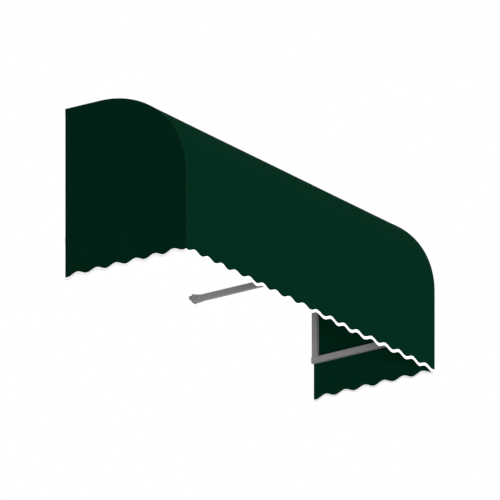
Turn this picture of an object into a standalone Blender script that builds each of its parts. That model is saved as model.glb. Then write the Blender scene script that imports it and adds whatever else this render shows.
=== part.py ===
"""Fixed window awning: a frame of coated box tube under a sewn cloth cover.

Units are metres and +Z is up. The wall is the plane y = 0 and the awning stands out
towards -Y. The origin is the middle of the back face of the middle header bracket.
"""

import math

import bmesh
import bpy
import numpy as np
from mathutils import Matrix, Vector

# Driving dimensions
WIDTH = 2.680  # over the two end panels
DEPTH = 0.914  # wall to the outer face of the front cloth
FRAME_DROP = 0.882  # top face of the cloth to the underside of the arms
VALANCE_DROP = 0.237  # underside of the arms to the middle of the hem's wave
BEND_DEPTH = 0.648  # half-axes of the quarter-oval bend, on the cloth's outer face
BEND_HEIGHT = 0.594
BEND_STEPS = 24

# Box tube of the frame, outside sizes
TUBE_DEEP = 0.0381
TUBE_WIDE = 0.0254
TUBE_WALL = 0.0016
TUBE_EDGE = 0.0008

# Cloth cover
CLOTH = 0.001
TOP_TURN = 0.030  # cloth turned down behind the header
SIDE_TURN = 0.022  # cloth turned in behind each wall post
TURN_SHORT = 0.006  # that turn stops this far from the arm and the rib
TAPE = 0.0008  # thickness of the binding tape
TAPE_WIDTH = 0.019  # height of the folded binding
WAVE = 0.0106  # half the height of the hem's wave
PART_WAVE = 0.29  # beyond a whole count, the same on every side, so that the corners meet
FRONT_WAVES = 18 + PART_WAVE
SIDE_WAVES = 6 + PART_WAVE
STEPS_PER_WAVE = 8

GAP = 0.0004  # between pieces that meet
MARGIN = 0.010  # how far a cutter runs past what it cuts
STAND_OFF = 0.004  # wall to the back of the frame, the thickness of a bracket

# Fittings
SPIGOT_LENGTH = 0.045
CAP_FLANGE = STAND_OFF - GAP
CAP_PLUG = 0.012
BRACKET_LEG = 0.050
BRACKET_WIDTH = 0.060
HEADER_BRACKET_X = 0.900
WALL_HOLE = 0.0035  # radius
WALL_HOLE_X = 0.018  # either side of a bracket's middle
ROUND_SIDES = 12

# Screw: pan head, shank, and the hole it is given
HEAD_RADIUS = 0.0045
HEAD_HEIGHT = 0.0028
SHANK_RADIUS = 0.0022
SHANK_LENGTH = 0.0080
DRILL_RADIUS = 0.0026
SCREW_FROM_END = 0.022

# Wall bracket of the middle arm
SADDLE_FACE = 0.037  # wall to the front of its upright plate
SADDLE_WIDTH = 0.040
SADDLE_ABOVE = 0.033  # height of the upright plate over the arm's middle
SADDLE_BELOW = 0.024  # and its depth under it
SADDLE_REACH = 0.100
TAB_LOW = 0.008  # the wall tab's height over the arm's middle
TAB_HIGH = 0.030
TAB_END = 0.041  # and its reach along the wall, to one side of the arm's middle
TAB_HOLES = (0.011, 0.031)
NECK = 0.006  # thickness of the neck that joins the tab and the upright plate
WELD_IN = 0.0015  # how far a welded edge lies inside the outline that it meets
CHEEK = 0.003
CHEEK_END = 0.040  # height of a cheek where its nose starts
CHEEK_NOSE = 0.014
BOLT_Y = -0.066
BOLT_RADIUS = 0.004
BOLT_HEAD = 0.0053
BOLT_NUT = 0.0065
BOLT_TAIL = 0.003
HEX_RADIUS = 0.0075

# Levels and planes that follow
SKIN = CLOTH + GAP  # the frame lies this far under the cloth's outer face
HEADER_UNDER = BRACKET_LEG / 2 + GAP
TOP = HEADER_UNDER + TUBE_DEEP + SKIN
ARM_UNDER = TOP - FRAME_DROP
ARM_TOP = ARM_UNDER + TUBE_DEEP
HEM = ARM_UNDER - VALANCE_DROP
FRONT = -(DEPTH - SKIN)  # foremost plane of the frame
BACK = -STAND_OFF  # rearmost plane of the tubes
SIDE = WIDTH / 2 - SKIN  # outer plane of the side frames
INSIDE = SIDE - TUBE_WIDE  # inner plane of the side frames
TURN_FACE = BACK + GAP + CLOTH  # outer face of the cloth behind the frame
PURLIN_ANGLE = math.radians(45)
PURLIN_INSET = SKIN + 0.0005  # keeps a flat face under the curved cloth

X, Y, Z = Vector((1, 0, 0)), Vector((0, 1, 0)), Vector((0, 0, 1))
# Planes that a flat outline can lie in: its own x, y and thickness directions
SIDE_VIEW = (Y, Z, X)
FRONT_VIEW = (X, Z, -Y)


# ---------------------------------------------------------------- scene and helpers


def clear_scene():
    for found in list(bpy.data.objects):
        bpy.data.objects.remove(found)


def collection(name):
    made = bpy.data.collections.new(name)
    bpy.context.scene.collection.children.link(made)
    return made


def finish_material(name, color, roughness, metallic=0.0):
    made = bpy.data.materials.new(name)
    made.use_nodes = True
    shader = made.node_tree.nodes["Principled BSDF"]
    shader.inputs["Base Color"].default_value = (*color, 1)
    shader.inputs["Roughness"].default_value = roughness
    shader.inputs["Metallic"].default_value = metallic
    return made


def move_to(piece, group):
    for old in list(piece.users_collection):
        old.objects.unlink(piece)
    group.objects.link(piece)


def keep(piece, material):
    """Makes a finished object one of the awning's pieces."""
    move_to(piece, AWNING)
    piece.data.materials.clear()
    piece.data.materials.append(material)
    return piece


def helper(piece):
    """Makes an object a cutter or other helper, which isn't part of the awning."""
    move_to(piece, HELPERS)
    piece.hide_render = True
    piece.display_type = "WIRE"
    return piece


def frame_matrix(location, along, deep):
    """A place whose local X runs along and whose local Z is deep."""
    across = deep.cross(along)
    turned = Matrix((along, across, deep)).transposed().to_4x4()
    return Matrix.Translation(location) @ turned


def block(name, size, matrix, shift=(0, 0, 0)):
    """A box of that size, its middle moved by shift, placed by matrix."""
    bpy.ops.mesh.primitive_cube_add(size=1)
    made = bpy.context.object
    made.name = made.data.name = name
    made.data.transform(Matrix.Translation(shift) @ Matrix.Diagonal((*size, 1)))
    made.matrix_world = matrix
    return made


def box_between(name, low, high):
    low, high = Vector(low), Vector(high)
    return block(name, high - low, Matrix.Translation((low + high) / 2))


def cylinder(name, radius, length, matrix, sides=ROUND_SIDES, shift=0.0):
    """A round or hexagonal bar along the place's local Z."""
    bpy.ops.mesh.primitive_cylinder_add(vertices=sides, radius=radius, depth=length)
    made = bpy.context.object
    made.name = made.data.name = name
    made.data.transform(Matrix.Translation((0, 0, shift)))
    made.matrix_world = matrix
    return made


def plate(name, outline, thickness, view, middle):
    """A flat piece from its outline, as a mesh, with its thickness either side of middle."""
    curve = bpy.data.curves.new(name, "CURVE")
    curve.dimensions = "2D"
    curve.fill_mode = "BOTH"
    curve.extrude = thickness / 2
    spline = curve.splines.new("POLY")
    spline.points.add(len(outline) - 1)
    for point, (across, up) in zip(spline.points, outline):
        point.co = (across, up, 0, 1)
    spline.use_cyclic_u = True
    drawn = bpy.data.objects.new(name + "_outline", curve)
    bpy.context.scene.collection.objects.link(drawn)
    turned = Matrix(view).transposed().to_4x4()
    drawn.matrix_world = Matrix.Translation(view[2] * middle) @ turned
    graph = bpy.context.evaluated_depsgraph_get()
    mesh = bpy.data.meshes.new_from_object(drawn.evaluated_get(graph))
    made = bpy.data.objects.new(name, mesh)
    made.matrix_world = drawn.matrix_world.copy()
    bpy.context.scene.collection.objects.link(made)
    bpy.data.objects.remove(drawn)
    weld(mesh)
    return made


def weld(mesh):
    work = bmesh.new()
    work.from_mesh(mesh)
    bmesh.ops.remove_doubles(work, verts=work.verts, dist=1e-6)
    bmesh.ops.recalc_face_normals(work, faces=work.faces)
    work.to_mesh(mesh)
    work.free()


def soften(piece, width):
    bevel = piece.modifiers.new("edges", "BEVEL")
    bevel.width = width
    bevel.segments = 1
    bevel.limit_method = "ANGLE"
    bevel.angle_limit = math.radians(60)
    return piece


def boolean(piece, other, operation):
    step = piece.modifiers.new(operation.lower(), "BOOLEAN")
    step.operation = operation
    step.object = helper(other)
    return piece


def cut(piece, *cutters):
    for cutter in cutters:
        boolean(piece, cutter, "DIFFERENCE")
    return piece


def join(piece, *others):
    for other in others:
        boolean(piece, other, "UNION")
    return piece


# ---------------------------------------------------------------- shape of the awning


def bend_point(angle, inset):
    """(y, z) on the bend, moved in from the cloth's outer face; angle 0 is its top."""
    middle = Vector((-(DEPTH - BEND_DEPTH), TOP - BEND_HEIGHT))
    place = Vector((-BEND_DEPTH * math.sin(angle), BEND_HEIGHT * math.cos(angle)))
    out = Vector((-math.sin(angle) / BEND_DEPTH, math.cos(angle) / BEND_HEIGHT))
    return middle + place - out.normalized() * inset


def bend_tangent(angle):
    """Direction of the bend, from the wall towards the front."""
    ahead = bend_point(angle + 0.001, 0) - bend_point(angle - 0.001, 0)
    return Vector((0, *ahead)).normalized()


def profile(inset, back, foot):
    """(y, z) points from the wall over the bend and down to the foot."""
    bend = [
        tuple(bend_point(math.pi / 2 * step / BEND_STEPS, inset))
        for step in range(BEND_STEPS + 1)
    ]
    return [(back, TOP - inset), *bend, (-(DEPTH - inset), foot)]


def wave_height(share, waves):
    """Height of the hem's wave above its middle; share runs from -0.5 to 0.5."""
    return -WAVE * math.cos(2 * math.pi * waves * share)


def wave_shares(waves):
    steps = round(waves * STEPS_PER_WAVE)
    return [step / steps - 0.5 for step in range(steps + 1)]


def front_edge(rise):
    """(x, z) points of the front hem, rise above the binding's lower edge."""
    return [
        (WIDTH * share, HEM + rise + wave_height(share, FRONT_WAVES))
        for share in wave_shares(FRONT_WAVES)
    ]


def side_edge(rise):
    """(y, z) points of a side hem, from the wall to the front."""
    return [
        (-DEPTH * (share + 0.5), HEM + rise + wave_height(share, SIDE_WAVES))
        for share in wave_shares(SIDE_WAVES)
    ]


# ---------------------------------------------------------------- box tube frame


def straight_tube(name, start, end, deep):
    """Box tube between two points, with its deeper side along deep."""
    start, end = Vector(start), Vector(end)
    length = (end - start).length
    place = frame_matrix((start + end) / 2, (end - start).normalized(), deep)
    tube = block(name, (length, TUBE_WIDE, TUBE_DEEP), place)
    inner = (length * 1.2, TUBE_WIDE - 2 * TUBE_WALL, TUBE_DEEP - 2 * TUBE_WALL)
    cut(soften(tube, TUBE_EDGE), block(name + "_bore", inner, place))
    return keep(tube, COAT)


def rib_bar(name, back, foot, shell, x):
    """Solid bar along the bend, shell inside the tube's outer faces."""
    outer = profile(SKIN + shell, back, foot)
    inner = profile(SKIN + TUBE_DEEP - shell, back, foot)
    outline = outer + inner[::-1]
    return plate(name, outline, TUBE_WIDE - 2 * shell, SIDE_VIEW, x)


def bent_rib(name, back, x):
    foot = ARM_TOP + GAP
    overrun = 0.01
    rib = soften(rib_bar(name, back, foot, 0, x), TUBE_EDGE)
    cut(rib, rib_bar(name + "_bore", back + overrun, foot - overrun, TUBE_WALL, x))
    return keep(rib, COAT)


def end_cap(name, face, into, deep):
    """Plug for a tube's end; face is the middle of its outer face."""
    place = frame_matrix(Vector(face), into, deep)
    flange = block(name, (CAP_FLANGE, TUBE_WIDE, TUBE_DEEP), place, (CAP_FLANGE / 2, 0, 0))
    loose = 2 * (TUBE_WALL + GAP)
    plug_size = (CAP_PLUG + CAP_FLANGE / 2, TUBE_WIDE - loose, TUBE_DEEP - loose)
    middle = CAP_FLANGE / 2 + plug_size[0] / 2
    plug = block(name + "_plug", plug_size, place, (middle, 0, 0))
    join(soften(flange, TUBE_EDGE), plug)
    return keep(flange, CAP_PLASTIC)


def spigot(name, face, into, deep):
    """Stub welded to a rib, which a bar slips over; face is where it meets the rib."""
    loose = 2 * (TUBE_WALL + GAP)
    size = (SPIGOT_LENGTH, TUBE_WIDE - loose, TUBE_DEEP - loose)
    place = frame_matrix(Vector(face) + into * GAP, into, deep)
    stub = block(name, size, place, (SPIGOT_LENGTH / 2, 0, 0))
    return keep(soften(stub, TUBE_EDGE), BARE_METAL)


def screw(name, face, inward, *held):
    """Pan-head screw into a face, with its hole drilled in every piece it holds."""
    place = frame_matrix(Vector(face), inward.orthogonal().normalized(), -inward)
    chamfer = 0.001
    outline = [
        (0, HEAD_HEIGHT + GAP),
        (HEAD_RADIUS - chamfer, HEAD_HEIGHT + GAP),
        (HEAD_RADIUS, HEAD_HEIGHT + GAP - chamfer),
        (HEAD_RADIUS, GAP),
        (SHANK_RADIUS, GAP),
        (SHANK_RADIUS, -SHANK_LENGTH),
        (0, -SHANK_LENGTH),
    ]
    made = turned(name, outline, place)
    length = 2 * (SHANK_LENGTH + 0.001)
    for number, piece in enumerate(held):
        drill = cylinder(f"{name}_drill_{number}", DRILL_RADIUS, length, place)
        cut(piece, drill)
    return keep(made, ZINC)


def turned(name, outline, place):
    """Round piece about the place's local Z, from (radius, height) points, top first."""
    mesh = bpy.data.meshes.new(name)
    points = [(radius, 0, height) for radius, height in outline]
    mesh.from_pydata(points, [(i, i + 1) for i in range(len(points) - 1)], [])
    made = bpy.data.objects.new(name, mesh)
    bpy.context.scene.collection.objects.link(made)
    made.matrix_world = place
    lathe = made.modifiers.new("lathe", "SCREW")
    lathe.steps = lathe.render_steps = ROUND_SIDES
    lathe.use_merge_vertices = True
    lathe.merge_threshold = 0.00001
    return made


def side_frame(name, sign):
    """Welded end frame: wall post, lower arm and bent rib, with its three caps."""
    x = sign * (SIDE - TUBE_WIDE / 2)
    arm_z = (ARM_UNDER + ARM_TOP) / 2
    rib_z = TOP - SKIN - TUBE_DEEP / 2
    post_y = BACK - TUBE_DEEP / 2
    arm_front = FRONT + CAP_FLANGE + GAP
    straight_tube(f"side_arm_{name}", (x, BACK, arm_z), (x, arm_front, arm_z), Z)
    post = straight_tube(
        f"wall_post_{name}",
        (x, post_y, ARM_TOP + GAP),
        (x, post_y, TOP - SKIN - TUBE_DEEP - GAP),
        Y,
    )
    bent_rib(f"side_rib_{name}", BACK, x)
    end_cap(f"arm_cap_wall_{name}", (x, 0, arm_z), -Y, Z)
    end_cap(f"arm_cap_front_{name}", (x, FRONT, arm_z), Y, Z)
    end_cap(f"rib_cap_wall_{name}", (x, 0, rib_z), -Y, Z)
    return post


def center_frame():
    """Middle arm from the saddle bracket, and the middle rib from the header."""
    arm_z = (ARM_UNDER + ARM_TOP) / 2
    cap_face = -(SADDLE_FACE + GAP)
    arm_back = cap_face - CAP_FLANGE - GAP
    arm_front = FRONT + CAP_FLANGE + GAP
    arm = straight_tube("center_arm", (0, arm_back, arm_z), (0, arm_front, arm_z), Z)
    end_cap("arm_cap_wall_center", (0, cap_face, arm_z), -Y, Z)
    end_cap("arm_cap_front_center", (0, FRONT, arm_z), Y, Z)
    header_face = BACK - TUBE_WIDE
    rib = bent_rib("center_rib", header_face - GAP, 0)
    rib_z = TOP - SKIN - TUBE_DEEP / 2
    stub = spigot("center_rib_spigot", (0, header_face, rib_z), -Y, Z)
    face = (-TUBE_WIDE / 2, header_face - SCREW_FROM_END, rib_z)
    screw("center_rib_screw", face, X, rib, stub)
    return arm


def header():
    """Top bar on the wall, between the two side ribs."""
    y, z = BACK - TUBE_WIDE / 2, HEADER_UNDER + TUBE_DEEP / 2
    end = INSIDE - GAP
    bar = straight_tube("header_bar", (-end, y, z), (end, y, z), Z)
    for name, sign in SIDES:
        stub = spigot(f"header_spigot_{name}", (sign * INSIDE, y, z), -sign * X, Z)
        face = (sign * (INSIDE - SCREW_FROM_END), y, HEADER_UNDER)
        screw(f"header_screw_{name}", face, Z, bar, stub)
    return bar


def cross_bar(kind, name, sign, place, deep, under):
    """Bar from a side frame to the middle one, slipped over a spigot at each end."""
    middle = TUBE_WIDE / 2
    outer, inner = sign * INSIDE, sign * middle
    bar = straight_tube(
        f"{kind}_{name}",
        place + X * (outer - sign * GAP),
        place + X * (inner + sign * GAP),
        deep,
    )
    reach = (TUBE_WIDE if abs(under.dot(deep)) < 0.5 else TUBE_DEEP) / 2
    for end, x, into in (("outer", outer, -sign * X), ("inner", inner, sign * X)):
        stub = spigot(f"{kind}_spigot_{name}_{end}", place + X * x, into, deep)
        face = place + X * x + into * SCREW_FROM_END + under * reach
        screw(f"{kind}_screw_{name}_{end}", face, -under, bar, stub)
    return bar


def front_bar(name, sign):
    """Bar between the arms, behind the head of the valance."""
    place = Vector((0, FRONT + TUBE_WIDE / 2, (ARM_UNDER + ARM_TOP) / 2))
    return cross_bar("front_bar", name, sign, place, Z, Y)


def purlin(name, sign):
    """Bar under the bend, laid flat against the cloth."""
    tangent = bend_tangent(PURLIN_ANGLE)
    place = Vector((0, *bend_point(PURLIN_ANGLE, PURLIN_INSET + TUBE_WIDE / 2)))
    return cross_bar("purlin", name, sign, place, tangent, X.cross(tangent))


# ---------------------------------------------------------------- wall brackets


def angle_outline():
    """L section in (across, out): wall leg, then the leg that carries the tube."""
    reach = STAND_OFF + TUBE_WIDE
    half = BRACKET_LEG / 2
    return [
        (0, -half),
        (0, half),
        (-reach, half),
        (-reach, half - STAND_OFF),
        (-STAND_OFF, half - STAND_OFF),
        (-STAND_OFF, -half),
    ]


def header_bracket(name, x, bar):
    """Angle under the header, with two wall holes and a screw up into the bar."""
    bracket = plate(f"header_bracket_{name}", angle_outline(), BRACKET_WIDTH, SIDE_VIEW, x)
    for side in (-1, 1):
        place = frame_matrix(Vector((x + side * WALL_HOLE_X, 0, 0)), X, Y)
        cut(bracket, cylinder(f"{bracket.name}_hole_{side}", WALL_HOLE, BRACKET_LEG / 2, place))
    under = BRACKET_LEG / 2 - STAND_OFF
    face = (x, BACK - TUBE_WIDE / 2, under)
    screw(f"header_bracket_screw_{name}", face, Z, bracket, bar)
    return keep(bracket, COAT)


def post_bracket(name, sign, post):
    """The same angle stood on end against a wall post."""
    top_leg = BRACKET_LEG / 2
    # The section's (out, up) becomes (out, towards the post).
    bracket = plate(
        f"post_bracket_{name}", angle_outline(), BRACKET_WIDTH, (Y, X * sign, -Z * sign), 0
    )
    x = sign * (INSIDE - GAP - top_leg)
    z = (ARM_TOP + TOP) / 2
    bracket.matrix_world = Matrix.Translation((x, 0, z)) @ bracket.matrix_world
    for side in (-1, 1):
        place = frame_matrix(Vector((x, 0, z + side * WALL_HOLE_X)), X, Y)
        cut(bracket, cylinder(f"{bracket.name}_hole_{side}", WALL_HOLE, BRACKET_LEG / 2, place))
    face = (sign * (INSIDE - GAP - STAND_OFF), BACK - TUBE_WIDE / 2, z)
    screw(f"post_bracket_screw_{name}", face, X * sign, bracket, post)
    return keep(bracket, COAT)


def cheek_outline():
    """Side of the saddle bracket: deepest at the upright plate, with a rounded nose."""
    middle = (ARM_UNDER + ARM_TOP) / 2
    nose_y = -SADDLE_REACH + CHEEK_NOSE
    arc_steps = 4
    turn = [math.pi / 2 * step / arc_steps for step in range(arc_steps + 1)]
    flat = CHEEK_END / 2 - CHEEK_NOSE
    low = [
        (nose_y - CHEEK_NOSE * math.sin(a), middle - flat - CHEEK_NOSE * math.cos(a))
        for a in turn
    ]
    high = [(y, 2 * middle - z) for y, z in reversed(low)]
    root = STAND_OFF / 2 - SADDLE_FACE
    foot, head = middle - SADDLE_BELOW + WELD_IN, middle + SADDLE_ABOVE - WELD_IN
    return [(root, foot), *low, *high, (root, head)]


def neck_outline():
    """Neck of the saddle bracket, from the wall tab out to the upright plate."""
    middle = (ARM_UNDER + ARM_TOP) / 2
    wall, plate_y = -STAND_OFF / 2, STAND_OFF / 2 - SADDLE_FACE
    return [
        (wall, middle + TAB_LOW + WELD_IN),
        (plate_y, middle - SADDLE_BELOW + WELD_IN),
        (plate_y, middle + SADDLE_ABOVE - WELD_IN),
        (wall, middle + TAB_HIGH - WELD_IN),
    ]


def saddle_bracket(arm):
    """Wall tab, neck and upright plate, with two cheeks that take the arm's end on a bolt."""
    z = (ARM_UNDER + ARM_TOP) / 2
    half = SADDLE_WIDTH / 2
    low = (-half, -SADDLE_FACE, z - SADDLE_BELOW)
    high = (half, STAND_OFF - SADDLE_FACE, z + SADDLE_ABOVE)
    saddle = box_between("saddle_bracket", low, high)
    soften(saddle, TUBE_EDGE)
    low = (-NECK / 2 - GAP, -STAND_OFF, z + TAB_LOW)
    tab = box_between("saddle_tab", low, (TAB_END, 0, z + TAB_HIGH))
    join(saddle, plate("saddle_neck", neck_outline(), NECK, SIDE_VIEW, 0), tab)
    inner = TUBE_WIDE / 2 + GAP
    for side in (-1, 1):
        middle = side * (inner + CHEEK / 2)
        join(saddle, plate(f"saddle_cheek_{side}", cheek_outline(), CHEEK, SIDE_VIEW, middle))
    for number, x in enumerate(TAB_HOLES):
        place = frame_matrix(Vector((x, 0, z + (TAB_LOW + TAB_HIGH) / 2)), X, Y)
        cut(saddle, cylinder(f"saddle_hole_{number}", WALL_HOLE, BRACKET_LEG / 2, place))
    axis = frame_matrix(Vector((0, BOLT_Y, z)), Z, X)
    for number, piece in enumerate((saddle, arm)):
        cut(piece, cylinder(f"bolt_hole_{number}", BOLT_RADIUS + GAP, SADDLE_WIDTH * 2, axis))
    outer = inner + CHEEK + GAP
    tail = outer + BOLT_NUT + BOLT_TAIL
    head_middle = outer + BOLT_HEAD / 2
    bolt = cylinder("saddle_bolt", HEX_RADIUS, BOLT_HEAD, axis, sides=6, shift=-head_middle)
    length = tail + head_middle
    shank = cylinder("saddle_bolt_shank", BOLT_RADIUS, length, axis, shift=tail - length / 2)
    keep(join(bolt, shank), ZINC)
    nut_middle = outer + BOLT_NUT / 2
    nut = cylinder("saddle_nut", HEX_RADIUS, BOLT_NUT, axis, sides=6, shift=nut_middle)
    thread = cylinder("saddle_nut_thread", BOLT_RADIUS + GAP, 2 * SADDLE_WIDTH, axis)
    keep(cut(nut, thread), ZINC)
    return keep(saddle, COAT)


# ---------------------------------------------------------------- sewn cover


def open_sheet(name, points, sweep):
    """Surface drawn by moving a line of points through sweep."""
    mesh = bpy.data.meshes.new(name)
    work = bmesh.new()
    corners = [work.verts.new(point) for point in points]
    edges = [work.edges.new(pair) for pair in zip(corners, corners[1:])]
    swept = bmesh.ops.extrude_edge_only(work, edges=edges)["geom"]
    moved = [item for item in swept if isinstance(item, bmesh.types.BMVert)]
    bmesh.ops.translate(work, verts=moved, vec=sweep)
    work.to_mesh(mesh)
    work.free()
    made = bpy.data.objects.new(name, mesh)
    bpy.context.scene.collection.objects.link(made)
    return made


def thicken(piece, thickness, offset):
    solid = piece.modifiers.new("thickness", "SOLIDIFY")
    solid.thickness = thickness
    solid.offset = offset
    solid.use_even_offset = True
    return piece


def hem_cutter(name, edge, view, middle):
    """Everything below a waved edge, which is given from one end to the other."""
    (first, first_up), (last, last_up) = edge[0], edge[-1]
    past = math.copysign(MARGIN, last - first)
    foot = HEM - 6 * MARGIN
    outline = [
        (first - past, foot),
        (last + past, foot),
        (last + past, last_up),
        *reversed(edge),
        (first - past, first_up),
    ]
    return plate(name, outline, 6 * MARGIN, view, middle)


def main_sheet():
    """Top and front in one sheet, turned down behind the header, with a waved foot."""
    drawn = [(TURN_FACE, TOP - TOP_TURN), *profile(0, TURN_FACE, HEM - 5 * MARGIN)]
    line = [(-WIDTH / 2, y, z) for y, z in drawn]
    sheet = thicken(open_sheet("main_sheet", line, X * WIDTH), CLOTH, INTO_THE_SHADE)
    cut(sheet, hem_cutter("front_hem_cutter", front_edge(TAPE + GAP), FRONT_VIEW, DEPTH))
    for name, sign in SIDES:
        near, far = sign * (INSIDE - 0.003), sign * (WIDTH / 2 + MARGIN)
        low = (min(near, far), BACK - GAP / 2, TOP - TOP_TURN - MARGIN)
        high = (max(near, far), MARGIN, TOP - SKIN)
        cut(sheet, box_between(f"turn_cutter_{name}", low, high))
    return keep(sheet, GREEN_CLOTH)


def end_panel(name, sign):
    """Flat end of the cover, inside the main sheet, turned in behind the wall post."""
    top_line = profile(SKIN, TURN_FACE, HEM - 5 * MARGIN)
    outline = [*top_line, (TURN_FACE, HEM - 5 * MARGIN)]
    middle = sign * (WIDTH - SIDE_TURN) / 2
    panel = plate(f"end_panel_{name}", outline, SIDE_TURN, SIDE_VIEW, middle)
    inner, far = sign * (WIDTH / 2 - CLOTH), sign * (WIDTH / 2 - SIDE_TURN - MARGIN)
    low_x, high_x = min(inner, far), max(inner, far)
    turn_start = ARM_TOP + TURN_SHORT
    turn_end = TOP - SKIN - TUBE_DEEP - TURN_SHORT
    cut(
        panel,
        box_between(
            f"room_cutter_{name}",
            (low_x, -DEPTH - MARGIN, HEM - 6 * MARGIN),
            (high_x, TURN_FACE - CLOTH, TOP + MARGIN),
        ),
        box_between(
            f"low_cutter_{name}",
            (low_x, -DEPTH / 2, HEM - 7 * MARGIN),
            (high_x, MARGIN, turn_start),
        ),
        box_between(
            f"high_cutter_{name}",
            (low_x, -DEPTH / 2, turn_end),
            (high_x, MARGIN, TOP + 2 * MARGIN),
        ),
        hem_cutter(f"side_hem_cutter_{name}", side_edge(TAPE + GAP), SIDE_VIEW, middle),
    )
    return keep(panel, GREEN_CLOTH)


def trimmed(edge, low, high):
    """The edge between two values of its first coordinate, cut where it crosses them."""
    along, up = zip(*edge)
    if along[0] > along[-1]:
        along, up = along[::-1], up[::-1]
    inner = [(a, z) for a, z in zip(along, up) if low < a < high]
    ends = [(end, float(np.interp(end, along, up))) for end in (low, high)]
    return [ends[0], *inner, ends[1]]


def hem_line(rise, wall):
    """(x, y, z) along the hem, from the left end at the wall round to the right one."""
    side = (WIDTH - CLOTH) / 2
    front = -(DEPTH - CLOTH / 2)
    to_wall = trimmed(side_edge(rise), front, wall)
    along = [(x, front, z) for x, z in trimmed(front_edge(rise), -side, side)]
    left = [(-side, y, z) for y, z in reversed(to_wall)]
    right = [(side, y, z) for y, z in to_wall]
    return left[:-1] + along + right[1:]


def hem_binding():
    """Tape folded round the lower edge of the cover, in one length."""
    binding = open_sheet("hem_binding", hem_line(0, TURN_FACE), Z * TAPE_WIDTH)
    thicken(binding, CLOTH + 2 * (GAP + TAPE), 0)
    slot = open_sheet("binding_slot", hem_line(TAPE, 0), Z * (TAPE_WIDTH + 0.002))
    thicken(slot, CLOTH + 2 * GAP, 0)
    return keep(cut(binding, slot), WHITE_TAPE)


# ---------------------------------------------------------------- build

INTO_THE_SHADE = 1  # Solidify offset that thickens towards the inside of the cover
SIDES = (("left", -1), ("right", 1))

clear_scene()
AWNING = collection("window_awning")
HELPERS = collection("helpers")
COAT = finish_material("grey_coat", (0.19, 0.19, 0.19), 0.45)
ZINC = finish_material("zinc_plate", (0.55, 0.55, 0.56), 0.35, 1.0)
BARE_METAL = finish_material("bare_aluminium", (0.70, 0.70, 0.71), 0.40, 1.0)
CAP_PLASTIC = finish_material("cap_plastic", (0.16, 0.16, 0.16), 0.55)
GREEN_CLOTH = finish_material("green_cloth", (0.003, 0.045, 0.020), 0.9)
WHITE_TAPE = finish_material("white_tape", (0.85, 0.85, 0.84), 0.85)


def build():
    bar = header()
    middle_arm = center_frame()
    for name, sign in SIDES:
        post = side_frame(name, sign)
        front_bar(name, sign)
        purlin(name, sign)
        header_bracket(name, sign * HEADER_BRACKET_X, bar)
        post_bracket(name, sign, post)
        end_panel(name, sign)
    header_bracket("middle", 0, bar)
    saddle_bracket(middle_arm)
    main_sheet()
    hem_binding()


build()
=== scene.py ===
"""Fixed window awning: cloth cover, bound wavy hem and box-tube frame, ready to look at.

Units are metres and +Z is up. The wall is the plane y = 0 and the front faces -Y. Places
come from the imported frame. A point of the cover is named by where it lies on the flat
cloth: how far across, and how far along the cloth from the wall edge.
"""

import math

import bmesh
import bpy
import numpy as np
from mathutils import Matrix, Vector


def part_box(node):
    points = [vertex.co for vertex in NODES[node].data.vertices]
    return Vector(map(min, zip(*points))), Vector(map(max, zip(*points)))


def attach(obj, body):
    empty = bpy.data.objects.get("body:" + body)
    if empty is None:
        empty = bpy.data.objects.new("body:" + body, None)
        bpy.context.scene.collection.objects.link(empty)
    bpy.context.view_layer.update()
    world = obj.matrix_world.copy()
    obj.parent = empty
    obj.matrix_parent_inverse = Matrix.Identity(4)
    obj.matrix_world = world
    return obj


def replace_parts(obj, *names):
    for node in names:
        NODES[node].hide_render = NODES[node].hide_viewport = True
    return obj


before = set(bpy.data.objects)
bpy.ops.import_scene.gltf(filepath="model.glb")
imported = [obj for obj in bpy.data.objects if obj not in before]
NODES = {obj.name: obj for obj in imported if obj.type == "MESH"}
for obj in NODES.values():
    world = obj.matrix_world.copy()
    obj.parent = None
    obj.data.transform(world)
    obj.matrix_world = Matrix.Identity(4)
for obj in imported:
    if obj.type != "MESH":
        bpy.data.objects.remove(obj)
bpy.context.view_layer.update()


def corners(node):
    low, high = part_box(node)
    return Vector(low), Vector(high)


# ---------------------------------------------------------------- sizes from the frame

SHEET_LOW, SHEET_HIGH = corners("main_sheet")
POST_LOW, POST_HIGH = corners("wall_post_right")
HEADER_LOW, HEADER_HIGH = corners("header_bar")
RIB_LOW, RIB_HIGH = corners("side_rib_right")
HEM_LEVEL = corners("hem_binding")[0].z  # lowest point of the binding
ARM_TOP = corners("side_arm_right")[1].z

HALF_WIDTH = SHEET_HIGH.x
FRONT = SHEET_LOW.y
DEPTH = -FRONT
TOP = SHEET_HIGH.z
TURN_Y = SHEET_HIGH.y  # outer face of the cloth behind the frame

# Cloth
CLOTH = 0.0007  # thickness
BEND_DEPTH = 0.648  # half-axes of the quarter-oval bend, on the cloth's outer face
BEND_HEIGHT = 0.594
FLAT_TOP = DEPTH - BEND_DEPTH
TOP_TURN = 0.030  # cloth turned down behind the header bar
SIDE_TURN = 0.021  # cloth turned in behind a wall post
EDGE_HEM = 0.020  # doubled cloth along a sewn edge
EDGE_STEP = 0.0006  # its extra height
HEM_OVERLAP = 0.0015  # width of the slope where it steps down
SEAM_INSET = 0.0002  # an end panel's sewn edge, in from the main sheet's outer face

# Hem and its binding
WAVE = 0.0106  # half the height of the hem's wave
PART_WAVE = 0.29  # beyond a whole count, the same on every side, so that the corners meet
FRONT_WAVES = 18 + PART_WAVE
SIDE_WAVES = 6 + PART_WAVE
HEM = HEM_LEVEL + WAVE  # middle of the wave
TAPE = 0.0007  # thickness
TAPE_OUTSIDE = 0.019
TAPE_INSIDE = 0.0135
TAPE_SEAT = 0.0016  # the cloth's edge lies this far above the tape's fold
HALF_FOLD = CLOTH / 2 + TAPE  # middle of the cloth to the tape's outer face
PUCKER = 0.00035  # depth and pitch of the tape's small gathers
PUCKER_PITCH = 0.0092

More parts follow.
